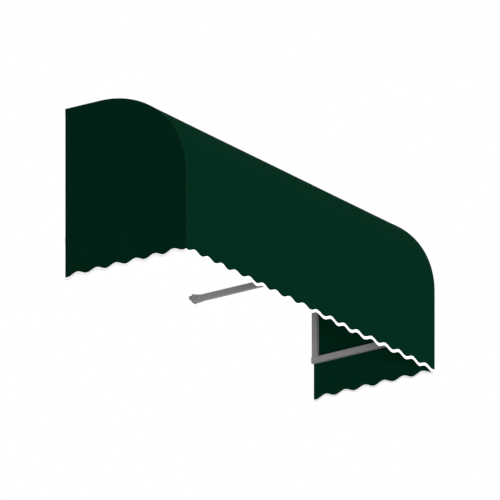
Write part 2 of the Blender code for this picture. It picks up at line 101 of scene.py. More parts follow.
# Where the cloth is held, and how far it gives between
HOLD_LINE = corners("front_bar_left")[0].z  # the valance hangs free below this level
PURLIN_ANGLE = math.radians(45)
SAG = 0.0035
PANEL_SAG = 0.7 * SAG
RIPPLE = 0.0030
CALM = 0.12  # the ripple dies away over this length next to a front corner
WALL_CALM = 0.10  # and over this length next to the wall

# Sewing
THREAD = 0.0005  # radius
STITCH = 0.0034  # length of one stitch
STITCH_PITCH = 0.0046
STITCH_LIFT = 0.0002  # thread's middle above the cloth
SEAM_START = 0.012  # first stitch of a long seam, from the wall edge

# Frame
TUBE_WIDE = 0.0254
TUBE_DEEP = 0.0381
TUBE_WALL = 0.0016
TUBE_EDGE = 0.0022  # radius of its outer corners
SKIN = 0.0014  # cloth's outer face to the frame
HAIR = 0.0002  # gap left where two pieces touch
SAME = 1e-6  # two lengths this close are the same

SIDES = (("left", -1), ("right", 1))
X, Y, Z = Vector((1, 0, 0)), Vector((0, 1, 0)), Vector((0, 0, 1))


# ---------------------------------------------------------------- shape of the cover


def bend(angle, inset=0.0):
    """(y, z) on the bend, moved in from the cloth's outer face; angle 0 is its top."""
    out_y, out_z = -math.sin(angle) / BEND_DEPTH, math.cos(angle) / BEND_HEIGHT
    size = math.hypot(out_y, out_z)
    y = -FLAT_TOP - BEND_DEPTH * math.sin(angle) - out_y / size * inset
    z = TOP - BEND_HEIGHT + BEND_HEIGHT * math.cos(angle) - out_z / size * inset
    return y, z


BEND_STEPS = 400
BEND_ANGLES = np.linspace(0, math.pi / 2, BEND_STEPS + 1)
BEND_POINTS = np.array([bend(angle) for angle in BEND_ANGLES])
BEND_RUNS = np.linalg.norm(np.diff(BEND_POINTS, axis=0), axis=1)
BEND_ALONG = np.concatenate([[0], np.cumsum(BEND_RUNS)])
TOP_RUN = TURN_Y + FLAT_TOP  # along the flat top, from the wall edge
BEND_END = TOP_RUN + BEND_ALONG[-1]
HOLD_RUN = BEND_END + TOP - BEND_HEIGHT - HOLD_LINE
HEM_RUN = BEND_END + TOP - BEND_HEIGHT - HEM
PURLIN_RUN = TOP_RUN + float(np.interp(PURLIN_ANGLE, BEND_ANGLES, BEND_ALONG))


def profile_point(along):
    """(y, z) and the outward (y, z) direction that far along the cover from the wall."""
    if along <= 0:
        return TURN_Y, TOP + along, 1.0, 0.0
    if along <= TOP_RUN:
        return TURN_Y - along, TOP, 0.0, 1.0
    if along >= BEND_END:
        return FRONT, TOP - BEND_HEIGHT - (along - BEND_END), -1.0, 0.0
    angle = float(np.interp(along - TOP_RUN, BEND_ALONG, BEND_ANGLES))
    y, z = bend(angle)
    inner_y, inner_z = bend(angle, 1.0)
    return y, z, y - inner_y, z - inner_z


def wave_height(share, waves):
    """Height of the hem's wave above its middle; share runs from -0.5 to 0.5."""
    return -WAVE * math.cos(2 * math.pi * waves * share)


def front_hem(x):
    return HEM + wave_height(x / (2 * HALF_WIDTH), FRONT_WAVES)


def side_hem(y):
    return HEM + wave_height(-y / DEPTH - 0.5, SIDE_WAVES)


def clamped(share):
    return min(1.0, max(0.0, share))


def between(value, low, high):
    """0 at both ends of a stretch and 1 in its middle."""
    return math.sin(math.pi * clamped((value - low) / (high - low))) ** 2


def hang(level):
    """How freely the valance hangs: 0 at the bar and 1 at the hem."""
    slowly = 1.4
    return clamped((HOLD_LINE - level) / (HOLD_LINE - HEM)) ** slowly


# Height, turns for each metre and start of the waves that make up the valance's ripple
RIPPLES = ((1.0, 8.3, 0.6), (0.6, 14.9, 2.1), (0.35, 27.1, 4.0))


def valance_ripple(run):
    """Gentle waves of the free valance, in a run that starts at the left wall edge."""
    return sum(height * math.sin(run * turns + start) for height, turns, start in RIPPLES)


def front_give(x, along):
    """How far the main sheet stands out from its even shape, negative for inwards."""
    header, half_purlin = 0.03, 0.02  # lengths of cloth that lie on each
    across = between(abs(x), TUBE_WIDE / 2, HALF_WIDTH - TUBE_WIDE)
    above = between(along, header, PURLIN_RUN - half_purlin)
    below = between(along, PURLIN_RUN + half_purlin, HOLD_RUN - TUBE_DEEP)
    taut = -SAG * across * max(above, below)
    if along <= BEND_END:
        return taut
    near_side = min(1.0, (HALF_WIDTH - abs(x)) / CALM)
    loose = RIPPLE * near_side * valance_ripple(DEPTH + HALF_WIDTH + x)
    return taut + loose * hang(profile_point(along)[1])


def side_give(sign, y, z):
    """The same for an end panel, whose own sag lies between post, rib and arm."""
    post, rib, crown = 0.05, 0.08, 0.25
    held = clamped((y - FRONT) / CALM) * clamped(-y / WALL_CALM)
    run = -y if sign < 0 else DEPTH + 2 * HALF_WIDTH + DEPTH + y
    loose = RIPPLE * valance_ripple(run) * hang(z)
    across = between(-y, post, DEPTH - rib)
    taut = -PANEL_SAG * across * between(z, HOLD_LINE, TOP - crown)
    return held * (loose + taut)


def cover_point(x, along, out=0.0):
    """Point and outward direction on the main sheet."""
    y, z, out_y, out_z = profile_point(along)
    lift = front_give(x, along) + out
    return Vector((x, y + out_y * lift, z + out_z * lift)), Vector((0, out_y, out_z))


def side_point(sign, y, z, out=0.0):
    """Point and outward direction on an end panel."""
    lift = side_give(sign, y, z) + out
    return Vector((sign * (HALF_WIDTH + lift), y, z)), Vector((sign, 0, 0))


# ---------------------------------------------------------------- materials


MIX_AMOUNT, MIX_A, MIX_B, MIX_RESULT = 0, 6, 7, 2  # a Mix node's sockets for colours


class Recipe:
    """A node material in the making: add() makes a node and feeds its sockets."""

    def __init__(self, name, roughness, metallic=0.0, specular=0.5):
        self.material = bpy.data.materials.new(name)
        self.material.use_nodes = True
        self.tree = self.material.node_tree
        self.shader = self.tree.nodes["Principled BSDF"]
        self.shader.inputs["Roughness"].default_value = roughness
        self.shader.inputs["Metallic"].default_value = metallic
        self.shader.inputs["Specular IOR Level"].default_value = specular

    def feed(self, socket, value):
        if isinstance(value, bpy.types.NodeSocket):
            self.tree.links.new(value, socket)
        else:
            socket.default_value = value

    def add(self, kind, *values, out=0, **settings):
        made = self.tree.nodes.new("ShaderNode" + kind)
        for key, value in settings.items():
            setattr(made, key, value)
        for place, value in enumerate(values):
            if value is not None:
                self.feed(made.inputs[place], value)
        return made.outputs[out]

    def math(self, operation, a, b=0.5, c=0.5):
        return self.add("Math", a, b, c, operation=operation)

    def object_place(self):
        return self.add("TexCoord", out="Object")

    def cloth_place(self):
        return self.add("TexCoord", out="UV")

    def stretched(self, place, *scale):
        return self.add("Mapping", place, (0, 0, 0), (0, 0, 0), scale)

    def split(self, place):
        """The X and Y of a place."""
        parts = self.tree.nodes.new("ShaderNodeSeparateXYZ")
        self.feed(parts.inputs[0], place)
        return parts.outputs[0], parts.outputs[1]

    def noise(self, place, scale, detail=2.0, roughness=0.5):
        made = self.tree.nodes.new("ShaderNodeTexNoise")
        self.feed(made.inputs["Vector"], place)
        made.inputs["Scale"].default_value = scale
        made.inputs["Detail"].default_value = detail
        made.inputs["Roughness"].default_value = roughness
        return made.outputs["Fac"]

    def blend(self, amount, first, second):
        made = self.tree.nodes.new("ShaderNodeMix")
        made.data_type = "RGBA"
        self.feed(made.inputs[MIX_AMOUNT], amount)
        self.feed(made.inputs[MIX_A], first)
        self.feed(made.inputs[MIX_B], second)
        return made.outputs[MIX_RESULT]

    def spread(self, value, low, high):
        """Takes a 0 to 1 value to low to high."""
        return self.add("MapRange", value, 0.0, 1.0, low, high)

    def color(self, value):
        self.feed(self.shader.inputs["Base Color"], value)

    def roughness(self, value):
        self.feed(self.shader.inputs["Roughness"], value)

    def bump(self, height, depth, strength=1.0):
        made = self.tree.nodes.new("ShaderNodeBump")
        made.inputs["Strength"].default_value = strength
        made.inputs["Distance"].default_value = depth
        self.feed(made.inputs["Height"], height)
        self.feed(self.shader.inputs["Normal"], made.outputs["Normal"])


def shade(*levels):
    """A colour with no transparency; one level makes a grey."""
    return (*(levels if len(levels) == 3 else levels * 3), 1)


def plain_weave(recipe, place, pitch):
    """Height of a plain weave: each yarn passes over one and under the next."""
    flatness, turns = 0.35, math.pi / pitch
    x, y = recipe.split(place)
    across = recipe.math("SINE", recipe.math("MULTIPLY", x, turns))
    along = recipe.math("SINE", recipe.math("MULTIPLY", y, turns))
    over = recipe.math("GREATER_THAN", recipe.math("MULTIPLY", across, along), 0.0)
    a, b = recipe.math("ABSOLUTE", across), recipe.math("ABSOLUTE", along)
    warp = recipe.math("MULTIPLY", a, recipe.math("POWER", b, flatness))
    weft = recipe.math("MULTIPLY", b, recipe.math("POWER", a, flatness))
    difference = recipe.math("SUBTRACT", warp, weft)
    return recipe.math("MULTIPLY_ADD", over, difference, weft)


def canvas(name, green, deep):
    """Woven cloth with slubby yarns, soft clouds of colour, and painted shade darkening the low
    places between its yarns.
    """
    recipe = Recipe(name, roughness=0.95, specular=0.01)
    place = recipe.cloth_place()
    weave = plain_weave(recipe, place, pitch=0.0011)
    slubs = recipe.noise(recipe.stretched(place, 1.0, 18.0, 1.0), scale=60.0, detail=3.0)
    clouds = recipe.noise(recipe.object_place(), scale=3.2, detail=4.0)
    fresh = recipe.blend(recipe.spread(clouds, low=0.0, high=0.22), green, deep)
    yarns = recipe.blend(recipe.spread(slubs, low=0.0, high=0.18), fresh, deep)
    # The low places of the weave are darkened towards a darker green: painted shade, not the
    # yarn's own colour.
    gap_shade_mask, gap_shade_share = recipe.math("SUBTRACT", 1.0, weave), 0.55
    gap_shade_green = shade(*(0.45 * value for value in green[:3]))
    recipe.color(recipe.blend(recipe.math("MULTIPLY", gap_shade_mask, gap_shade_share), yarns, gap_shade_green))
    height = recipe.math("MULTIPLY_ADD", slubs, 0.35, weave)
    recipe.bump(height, depth=0.00025, strength=0.8)
    return recipe.material


def binding_tape():
    """White tape with fine ribs across it, and painted shade in the grooves between the ribs."""
    rib_pitch, gap_shade_share = 0.0012, 0.30
    recipe = Recipe("white_binding", roughness=0.85, specular=0.15)
    place = recipe.cloth_place()
    run, _ = recipe.split(place)
    ribs = recipe.math("SINE", recipe.math("MULTIPLY", run, 2 * math.pi / rib_pitch))
    ribs = recipe.math("MULTIPLY_ADD", ribs, 0.5, 0.5)
    fibre = recipe.noise(place, scale=900.0, detail=2.0)
    clouds = recipe.noise(recipe.object_place(), scale=14.0, detail=3.0)
    # The darker tone serves both the tape's random clouds of colour and the painted shade in its
    # grooves.
    white, cream_and_groove_shade = shade(0.92, 0.92, 0.91), shade(0.80, 0.80, 0.78)
    soft = recipe.blend(recipe.spread(clouds, low=0.0, high=0.35), white, cream_and_groove_shade)
    # The grooves between the ribs are darkened towards the darker tone: painted shade.
    gap_shade_mask = recipe.math("SUBTRACT", 1.0, ribs)
    recipe.color(recipe.blend(recipe.math("MULTIPLY", gap_shade_mask, gap_shade_share), soft, cream_and_groove_shade))
    recipe.bump(recipe.math("MULTIPLY_ADD", fibre, 0.4, ribs), depth=0.00018, strength=0.6)
    return recipe.material


def powder_coat():
    recipe = Recipe("grey_powder_coat", roughness=0.45, specular=0.35)
    place = recipe.object_place()
    peel = recipe.noise(place, scale=700.0, detail=2.0)
    patches = recipe.noise(place, scale=9.0, detail=4.0)
    grey, dark = shade(0.252, 0.250, 0.250), shade(0.216, 0.214, 0.214)
    recipe.color(recipe.blend(recipe.spread(patches, low=0.0, high=0.8), grey, dark))
    recipe.roughness(recipe.spread(patches, low=0.40, high=0.58))
    recipe.bump(peel, depth=0.00010, strength=0.5)
    return recipe.material


def cap_plastic():
    recipe = Recipe("moulded_cap", roughness=0.55, specular=0.35)
    place = recipe.object_place()
    grain = recipe.noise(place, scale=1600.0, detail=3.0)
    patches = recipe.noise(place, scale=22.0, detail=3.0)
    recipe.color(recipe.blend(patches, shade(0.235, 0.235, 0.238), shade(0.205, 0.205, 0.208)))
    recipe.roughness(recipe.spread(grain, low=0.48, high=0.66))
    recipe.bump(grain, depth=0.00008, strength=0.6)
    return recipe.material


def zinc_plate():
    recipe = Recipe("zinc_plated_steel", roughness=0.34, metallic=1.0)
    place = recipe.object_place()
    spangle = recipe.noise(place, scale=420.0, detail=3.0)
    cloudy = recipe.noise(place, scale=60.0, detail=3.0)
    recipe.color(recipe.blend(cloudy, shade(0.62, 0.62, 0.63), shade(0.46, 0.47, 0.49)))
    recipe.roughness(recipe.spread(spangle, low=0.26, high=0.46))
    recipe.bump(spangle, depth=0.00005, strength=0.5)
    return recipe.material


def mill_aluminium():
    recipe = Recipe("mill_aluminium", roughness=0.40, metallic=1.0)
    drawn = recipe.stretched(recipe.object_place(), 4.0, 900.0, 900.0)
    lines = recipe.noise(drawn, scale=1.0, detail=3.0)
    recipe.color(recipe.blend(lines, shade(0.74, 0.74, 0.75), shade(0.60, 0.60, 0.61)))
    recipe.roughness(recipe.spread(lines, low=0.32, high=0.50))
    recipe.bump(lines, depth=0.00004, strength=0.6)
    return recipe.material


def sewing_thread(name, light, dark):
    recipe = Recipe(name, roughness=0.70, specular=0.2)
    twist = recipe.noise(recipe.object_place(), scale=2500.0, detail=1.0)
    recipe.color(recipe.blend(twist, light, dark))
    recipe.bump(twist, depth=0.00006, strength=0.6)
    return recipe.material


def floor_paint():
    recipe = Recipe("pale_floor", roughness=0.85, specular=0.2)
    speckle = recipe.noise(recipe.object_place(), scale=1.4, detail=4.0)
    recipe.color(recipe.blend(speckle, shade(0.48), shade(0.44)))
    return recipe.material


# ---------------------------------------------------------------- mesh helpers


def deselect():
    if bpy.context.object and bpy.context.object.mode != "OBJECT":
        bpy.ops.object.mode_set(mode="OBJECT")
    bpy.ops.object.select_all(action="DESELECT")


def new_primitive(name):
    """The primitive just added, named, with its place, turn and size in its mesh."""
    piece = bpy.context.object
    piece.name = piece.data.name = name
    bpy.ops.object.transform_apply(location=True, rotation=True, scale=True)
    return piece


def new_piece(name, data):
    piece = bpy.data.objects.new(name, data)
    bpy.context.scene.collection.objects.link(piece)
    return piece


def choose(piece):
    """Selects one piece alone and makes it the active one."""
    deselect()
    piece.select_set(True)
    bpy.context.view_layer.objects.active = piece


def rides(piece, material=None):
    """A finished piece: its finish, and the body that carries it."""
    if material:
        piece.data.materials.clear()
        piece.data.materials.append(material)
    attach(piece, "root")
    return piece


def smooth(piece, degrees):
    """Smooth shading, apart from edges that are sharper than that."""
    choose(piece)
    bpy.ops.object.shade_smooth_by_angle(angle=math.radians(degrees))
    return piece


def apply_all(piece):
    choose(piece)
    for step in list(piece.modifiers):
        bpy.ops.object.modifier_apply(modifier=step.name)
    return piece


def softened(piece, width, segments, least=30, profile=0.5):
    """Rounds a piece's edges that turn by more than the least angle, in degrees."""
    bevel = piece.modifiers.new("edge", "BEVEL")
    bevel.width = width
    bevel.segments = segments
    bevel.profile = profile
    bevel.limit_method = "ANGLE"
    bevel.angle_limit = math.radians(least)
    return apply_all(piece)


def cloth_grid(name, columns, rows, place):
    """A sheet from a flat grid: place(column, row) gives a point and its flat (u, v)."""
    deselect()
    bpy.ops.mesh.primitive_grid_add(
        x_subdivisions=len(columns) - 1, y_subdivisions=len(rows) - 1, size=2
    )
    piece = new_primitive(name)
    mesh = piece.data
    flat = np.zeros((len(mesh.vertices), 2))
    for vertex in mesh.vertices:
        column = round((vertex.co.x + 1) / 2 * (len(columns) - 1))
        row = round((vertex.co.y + 1) / 2 * (len(rows) - 1))
        point, flat[vertex.index] = place(columns[column], rows[row])
        vertex.co = point
    layer = mesh.uv_layers.active or mesh.uv_layers.new(name="cloth")
    for loop in mesh.loops:
        layer.data[loop.index].uv = flat[loop.vertex_index]
    return piece


def facing(piece, way, rank=lambda face: face.area):
    """Turns a sheet's faces so that the one that ranks highest looks that way."""
    mesh = piece.data
    mesh.update()
    if max(mesh.polygons, key=rank).normal.dot(way) < 0:
        mesh.flip_normals()
    return piece


def thicken(piece, thickness, finishes=()):
    """Gives a sheet its thickness, inwards from the face it has; finishes are outer, inner."""
    for finish in finishes:
        piece.data.materials.append(finish)
    solid = piece.modifiers.new("thickness", "SOLIDIFY")
    solid.material_offset = len(finishes) - 1 if finishes else 0
    solid.thickness = thickness
    solid.offset = -1
    solid.use_even_offset = True
    return apply_all(piece)


def merged(name, meshes):
    """One object from a list of (vertices, faces) arrays."""
    points, faces, count = [], [], 0
    for vertices, loops in meshes:
        points.append(vertices)
        faces.extend([tuple(int(i) + count for i in loop) for loop in loops])
        count += len(vertices)
    mesh = bpy.data.meshes.new(name)
    mesh.from_pydata(np.concatenate(points).tolist(), [], faces)
    return new_piece(name, mesh)


def as_arrays(piece):
    """A modelled piece's points and faces; the piece itself is removed."""
    mesh = piece.data
    points = np.array([vertex.co[:] for vertex in mesh.vertices])
    faces = [tuple(polygon.vertices) for polygon in mesh.polygons]
    bpy.data.objects.remove(piece)
    bpy.data.meshes.remove(mesh)
    return points, faces


def placed(arrays, location, along, out):
    """A copy whose local X lies along a line and whose local Z stands out of it."""
    points, faces = arrays
    along = along.normalized()
    across = out.cross(along).normalized()
    return points @ np.array([along, across, along.cross(across)]) + np.array(location), faces


# ---------------------------------------------------------------- sewing


def one_stitch():
    """A lock stitch: a short thread that dives into the cloth at both ends."""
    narrowing, height, flattening = 0.45, 0.75, 0.30
    lift, dive = 0.35 * THREAD, 1.1 * THREAD
    deselect()
    bpy.ops.mesh.primitive_cylinder_add(
        vertices=6, radius=THREAD, depth=STITCH, rotation=(0, math.pi / 2, 0)
    )
    piece = new_primitive("stitch")
    bpy.ops.object.mode_set(mode="EDIT")
    bpy.ops.mesh.select_all(action="SELECT")
    work = bmesh.from_edit_mesh(piece.data)
    long_edges = [e for e in work.edges if abs(e.verts[0].co.x - e.verts[1].co.x) > STITCH / 2]
    bmesh.ops.subdivide_edges(work, edges=long_edges, cuts=2)
    for vertex in work.verts:
        share = abs(vertex.co.x) / (STITCH / 2)
        vertex.co.y *= 1 - narrowing * share
        vertex.co.z = vertex.co.z * (height - flattening * share) + lift - dive * share**3
    bmesh.update_edit_mesh(piece.data)
    bpy.ops.object.mode_set(mode="OBJECT")
    return as_arrays(piece)


def stitch_row(name, spot, start, end, material, slot="green_cloth"):
    """Stitches along a run; spot(run) gives a point and the outward direction."""
    count = int(abs(end - start) / STITCH_PITCH)
    step = (end - start) / count
    nearby = step * 0.3
    meshes = []
    for number in range(count):
        run = start + step * (number + 0.5)
        point, out = spot(run)
        along = spot(run + nearby)[0] - spot(run - nearby)[0]
        meshes.append(placed(STITCH_SHAPE, point, along, out))
    return rides(merged(name, meshes), material)


# ---------------------------------------------------------------- cloth pieces


def spaced(low, high, pitch):
    return list(np.linspace(low, high, max(2, round((high - low) / pitch) + 1)))


def edge_band(distance):
    """Extra height of the doubled cloth, that far in from a sewn edge."""
    rise = clamped((EDGE_HEM + HEM_OVERLAP - distance) / HEM_OVERLAP)
    return EDGE_STEP * rise * rise * (3 - 2 * rise)


def with_band(low, high, pitch):
    """Even columns, with extra ones where the doubled cloth steps down at both ends."""
    marks = [0.0, 0.004, 0.012, EDGE_HEM - 0.001, EDGE_HEM, EDGE_HEM + HEM_OVERLAP / 2]
    marks += [EDGE_HEM + HEM_OVERLAP, EDGE_HEM + 2 * HEM_OVERLAP]
    clear = EDGE_HEM + 0.008
    inner = spaced(low + clear, high - clear, pitch)
    return [low + m for m in marks] + inner + [high - m for m in reversed(marks)]


def main_cloth(finishes):
    """Top and front in one sheet, turned down behind the header bar."""
    turn_inset = HALF_WIDTH - RIB_LOW.x + 0.002  # the turned strip ends clear of the ribs
    turn_slope, band_slope, band_fade = 0.006, 0.006, 0.02
    band_start, band_end = 0.004, HEM_RUN - TAPE_OUTSIDE - 0.012
    columns = with_band(-HALF_WIDTH, HALF_WIDTH, 0.0090)
    lines = [-TOP_TURN, -TOP_TURN / 2, -0.004, -0.001]
    lines += [0.0, 0.001, 0.004] + spaced(0.02, TOP_RUN - 0.01, 0.035)
    lines += spaced(TOP_RUN, BEND_END, 0.022)
    lines += spaced(BEND_END + 0.025, HOLD_RUN, 0.030)
    # A row is a line along the cloth, and its share of the way from there to the hem
    rows = [(line, 0.0) for line in lines]
    rows += [(HOLD_RUN, share) for share in spaced(0.0, 1.0, 0.11)[1:]]

    def place(x, row):
        line, share = row
        low_end = HEM_RUN + HEM - front_hem(x) - TAPE_SEAT
        along = line + (low_end - line) * share
        near = x * (1 - clamped(-along / turn_slope) * turn_inset / HALF_WIDTH)
        band = clamped((along - band_start) / band_slope) * clamped((band_end - along) / band_fade)
        point, _ = cover_point(near, along, edge_band(HALF_WIDTH - abs(x)) * band)
        return point, (x, along)

    piece = cloth_grid("cover_cloth", columns, rows, place)
    thicken(facing(piece, Z - Y), CLOTH, finishes)
    smooth(piece, 50)
    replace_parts(piece, "main_sheet")
    rides(piece)
    return piece


def panel_top(y):
    """Height of an end panel's upper edge, in the seam with the main sheet."""
    share = clamped((-y - FLAT_TOP) / (BEND_DEPTH - SEAM_INSET))
    return TOP - BEND_HEIGHT + (BEND_HEIGHT - SEAM_INSET) * math.sqrt(1 - share * share)


def panel_columns():
    """Depths of an end panel's columns, closer together where its edge falls steeply."""
    narrowest, widest, drop, ahead, least_fall = 0.0005, 0.0090, 0.016, 0.002, 0.1
    columns, y = [], TURN_Y
    last = FRONT + SEAM_INSET
    while y > last + 0.0006:
        columns.append(y)
        fall = (panel_top(y) - panel_top(max(last, y - ahead))) / ahead
        y -= min(widest, max(narrowest, drop / max(fall, least_fall)))
    return [*columns, last]


def end_cloth(name, sign, finishes):
    """End panel, hemmed along its curved edge and turned in behind the wall post."""

    def panel(y, share):
        foot = side_hem(y) + TAPE_SEAT
        z = foot + (panel_top(y) - foot) * share
        return side_point(sign, y, z)[0], (y, z)

    def turn(inwards, z):
        return Vector((sign * (HALF_WIDTH - inwards), TURN_Y, z)), (inwards, z)

    piece = cloth_grid(f"end_cloth_{name}", panel_columns(), spaced(0.0, 1.0, 0.024), panel)
    thicken(facing(piece, X * sign), CLOTH, finishes)
    clear = 0.006  # the turned strip stops short of the arm and the rib
    levels = spaced(ARM_TOP + clear, TOP - SKIN - TUBE_DEEP - clear, 0.04)
    strip = cloth_grid("turned_strip", spaced(0.0, SIDE_TURN, 0.005), levels, turn)
    thicken(facing(strip, Y), CLOTH, finishes)
    choose(piece)
    strip.select_set(True)
    bpy.ops.object.join()
    smooth(piece, 50)
    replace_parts(piece, f"end_panel_{name}")
    rides(piece)
    return piece


def hem_path():
    """(x, y, outward x, outward y, run) in plan, from the left wall edge to the right one."""
    radius, steps, pitch = 0.0006, 3, 0.0033  # of a corner; and between places elsewhere
    spots = []
    for y in spaced(FRONT + radius, TURN_Y, pitch)[::-1]:
        spots.append((-HALF_WIDTH, y, -1.0, 0.0))
    for step in range(1, steps):
        a = math.pi / 2 * step / steps
        x = -HALF_WIDTH + radius * (1 - math.cos(a))
        spots.append((x, FRONT + radius * (1 - math.sin(a)), -math.cos(a), -math.sin(a)))
    for x in spaced(-HALF_WIDTH + radius, HALF_WIDTH - radius, pitch):
        spots.append((x, FRONT, 0.0, -1.0))
    left = [spot for spot in spots if spot[0] < -HALF_WIDTH + radius - SAME]
    spots += [(-x, y, -out_x, out_y) for x, y, out_x, out_y in reversed(left)]
    run, path = 0.0, []
    for number, spot in enumerate(spots):
        if number:
            run += math.dist(spot[:2], spots[number - 1][:2])
        path.append((*spot, run))
    return path


def hem_height(x, y):
    """Level of the tape's fold at a place in plan."""
    if abs(y - FRONT) < SAME:
        return front_hem(x)
    if abs(abs(x) - HALF_WIDTH) < SAME:
        return side_hem(y)
    return (front_hem(x) + side_hem(y)) / 2


def hem_give(x, y, z):
    """How far the cloth at a place by the hem stands out from its even shape."""
    if abs(abs(x) - HALF_WIDTH) < SAME:
        return side_give(math.copysign(1, x), y, z)
    return front_give(x, BEND_END + TOP - BEND_HEIGHT - z)


def tape_section():
    """(height above the fold, distance out of the cloth's outer face) round the tape."""
    half, middle, fold_steps = HALF_FOLD, -CLOTH / 2, 6
    outside = [(h, middle + half) for h in (TAPE_OUTSIDE, 0.015, 0.011, 0.007, 0.0035)]
    turn = [math.pi * step / fold_steps for step in range(fold_steps + 1)]
    fold = [(half - half * math.sin(a), middle + half * math.cos(a)) for a in turn]
    inside = [(h, middle - half) for h in (0.0035, 0.007, 0.0105, TAPE_INSIDE)]
    return outside + fold + inside


def hem_tape(material):
    """White tape folded round the wavy edge, in one length round three sides."""
    path = hem_path()

    def place(spot, part):
        x, y, out_x, out_y, run = spot
        height, away = part
        z = hem_height(x, y) + height
        pucker = PUCKER * math.sin(2 * math.pi * run / PUCKER_PITCH) * min(1.0, height / 0.02)
        away += hem_give(x, y, z) + (pucker if away > 0 else -pucker)
        point = Vector((x + out_x * away, y + out_y * away, z))
        return point, (run, height if away > -CLOTH / 2 else -height)

    piece = cloth_grid("hem_tape", path, tape_section(), place)
    facing(piece, -Y, lambda face: -face.center.y)
    thicken(piece, TAPE * 0.8)  # a little clear of the cloth between its two sides
    smooth(piece, 60)
    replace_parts(piece, "hem_binding")
    rides(piece, material)
    return path


# ---------------------------------------------------------------- rows of sewing


def tape_seams(path, material):
    """A row of stitches through the tape, seen outside and inside."""
    runs = [spot[4] for spot in path]
    table = np.array([spot[:4] for spot in path])
    corner = 0.003  # this near a corner, a stitch lies on the side or the front

    def spot(run, height, side):
        x, y, out_x, out_y = (float(np.interp(run, runs, table[:, k])) for k in range(4))
        if abs(x) > HALF_WIDTH - corner:
            x = math.copysign(HALF_WIDTH, x)
        if y < FRONT + corner:
            y = FRONT
        z = hem_height(x, y) + height
        away = hem_give(x, y, z) - CLOTH / 2 + side * (HALF_FOLD + STITCH_LIFT)
        out = Vector((out_x, out_y, 0)) * side
        return Vector((x + out_x * away, y + out_y * away, z)), out

    clear = 0.006  # from the tape's ends
    ends = (clear, runs[-1] - clear)
    rows = (("outer", TAPE_OUTSIDE - 0.003, 1), ("inner", TAPE_INSIDE - 0.0025, -1))
    for name, height, side in rows:
        row = f"tape_stitches_{name}"
        stitch_row(row, lambda run: spot(run, height, side), *ends, material, "white_tape")


def cover_seams(material):
    """Two rows of stitches down each side of the main sheet and one along its wall edge."""
    ends = (SEAM_START, HEM_RUN - TAPE_OUTSIDE - WAVE - 0.002)
    for name, sign in SIDES:
        for row, inset in (("edge", 0.005), ("inner", EDGE_HEM - 0.003)):
            x = sign * (HALF_WIDTH - inset)

            def spot(run, x=x):
                return cover_point(x, run, EDGE_STEP + STITCH_LIFT)

            stitch_row(f"cover_stitches_{name}_{row}", spot, *ends, material)

    from_wall, clear = 0.022, 0.03

    def wall_spot(run):
        return cover_point(run, from_wall, STITCH_LIFT)

    ends = (-HALF_WIDTH + clear, HALF_WIDTH - clear)
    stitch_row("cover_stitches_wall", wall_spot, *ends, material)


def panel_seams(material):
    """Rows of stitches along the curved edge and the wall edge of each end panel."""
    inset, from_wall, above_tape, below_top = 0.009, 0.018, 0.004, 0.016
    ends = (SEAM_START, HEM_RUN - TAPE_OUTSIDE - WAVE - above_tape)
    wall_ends = (HEM + TAPE_OUTSIDE + WAVE + above_tape, TOP - below_top)
    for name, sign in SIDES:

        def spot(run, sign=sign):
            y, z, out_y, out_z = profile_point(run)
            return side_point(sign, y - out_y * inset, z - out_z * inset, STITCH_LIFT)

        def wall_spot(run, sign=sign):
            return side_point(sign, -from_wall, run, STITCH_LIFT)

        stitch_row(f"panel_stitches_{name}", spot, *ends, material)
        stitch_row(f"panel_stitches_wall_{name}", wall_spot, *wall_ends, material)


# ---------------------------------------------------------------- frame details


def tube_section(half_wide, half_deep, radius):
    """Points round a rectangle with rounded corners, four to a corner."""
    points = []
    for corner in range(4):
        middle_x = (half_wide - radius) * (1 if corner in (0, 3) else -1)
        middle_y = (half_deep - radius) * (1 if corner in (0, 1) else -1)
        for step in range(4):
            a = math.pi / 2 * (corner + step / 3)
            points.append((middle_x + radius * math.cos(a), middle_y + radius * math.sin(a)))
    return points


def rib_line(back):
    """(y, z, outward y, outward z) along a rib's middle, from the wall to its foot."""
    steps, middle = 72, SKIN + TUBE_DEEP / 2
    line = [(back, TOP - middle, 0.0, 1.0)]
    for step in range(steps + 1):
        angle = math.pi / 2 * step / steps
        y, z = bend(angle, middle)
        outer_y, outer_z = bend(angle)
        line.append((y, z, (outer_y - y) / middle, (outer_z - z) / middle))
    return [*line, (FRONT + middle, ARM_TOP + HAIR, -1.0, 0.0)]


def rib_tube(name, x, back, material):
    """Box tube bent to the cover's profile, with rounded corners and an open bore."""
    half_wide, half_deep, inner_edge = TUBE_WIDE / 2, TUBE_DEEP / 2, 0.0010
    outer = tube_section(half_wide, half_deep, TUBE_EDGE)
    inner = tube_section(half_wide - TUBE_WALL, half_deep - TUBE_WALL, inner_edge)
    work = bmesh.new()
    walls = []
    for section in (outer, inner):
        rings = [
            [work.verts.new((x + a, y + out_y * b, z + out_z * b)) for a, b in section]
            for y, z, out_y, out_z in rib_line(back)
        ]
        walls.append(rings)
        for first, second in zip(rings, rings[1:]):
            bridge(work, first, second)
    for end in (0, -1):
        bridge(work, walls[0][end], walls[1][end])
    bmesh.ops.recalc_face_normals(work, faces=work.faces)
    mesh = bpy.data.meshes.new(name)
    work.to_mesh(mesh)
    work.free()
    return rides(smooth(new_piece(name, mesh), 40), material)


def bridge(work, first, second):
    """Quads between two rings of the same number of points."""
    count = len(first)
    for k in range(count):
        nearby = (k + 1) % count
        work.faces.new((first[k], first[nearby], second[nearby], second[k]))


WELD = 0.0022  # radius of a weld's drops, and how far apart they are


def weld_bead(name, start, end, out, material):
    """A rippled weld along a joint between two tubes."""
    sunk = 0.55 * WELD
    run = end - start
    count = max(4, round(run.length / WELD))
    deselect()
    bpy.ops.mesh.primitive_uv_sphere_add(segments=8, ring_count=6, radius=WELD)
    drop = as_arrays(new_primitive("weld_drop"))
    spots = [start + run * number / count - out * sunk for number in range(count + 1)]
    piece = merged(name, [placed(drop, spot, run, out) for spot in spots])
    return rides(smooth(piece, 60), material)


